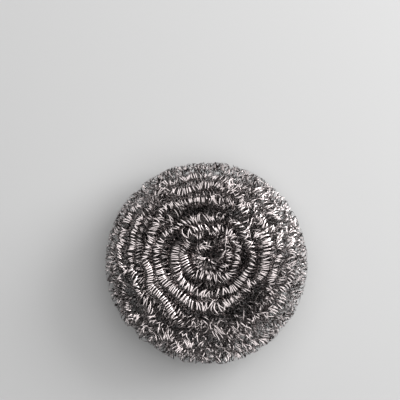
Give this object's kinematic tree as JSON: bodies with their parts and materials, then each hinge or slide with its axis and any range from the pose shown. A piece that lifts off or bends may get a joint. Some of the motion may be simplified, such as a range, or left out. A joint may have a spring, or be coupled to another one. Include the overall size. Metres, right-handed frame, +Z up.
{
  "type": "pot scrubber",
  "caption": "Round springy metal scourer wound in a spiral from strands of curled stainless ribbon, with a swirled top round a small eye, for scrubbing pots and pans.",
  "frame": {"origin": "middle of the flat that the pad rests on", "axes": "+Z up out of the eye, on the side that the picture shows; +X to the right and +Y to the top of the picture"},
  "size_m": [0.0979, 0.0981, 0.038],
  "materials": {
    "steel_ribbon": "bright drawn ribbon"
  },
  "bodies": {
    "root": {"upper_throat_strand": "steel_ribbon", "eye_ring": "steel_ribbon", "top_inner_swirl": "steel_ribbon", "top_outer_swirl": "steel_ribbon", "upper_rim_strand": "steel_ribbon", "lower_rim_strand": "steel_ribbon", "base_outer_swirl": "steel_ribbon", "base_inner_swirl": "steel_ribbon", "lower_throat_strand": "steel_ribbon", "second_top_inner_strand": "steel_ribbon", "second_top_outer_strand": "steel_ribbon", "second_rim_strand": "steel_ribbon", "second_base_outer_strand": "steel_ribbon", "second_base_inner_strand": "steel_ribbon", "third_top_strand": "steel_ribbon", "third_rim_strand": "steel_ribbon", "third_base_strand": "steel_ribbon", "heart_strand": "steel_ribbon", "eye_left_end": "steel_ribbon", "eye_right_end": "steel_ribbon"}
  },
  "joints": []
}
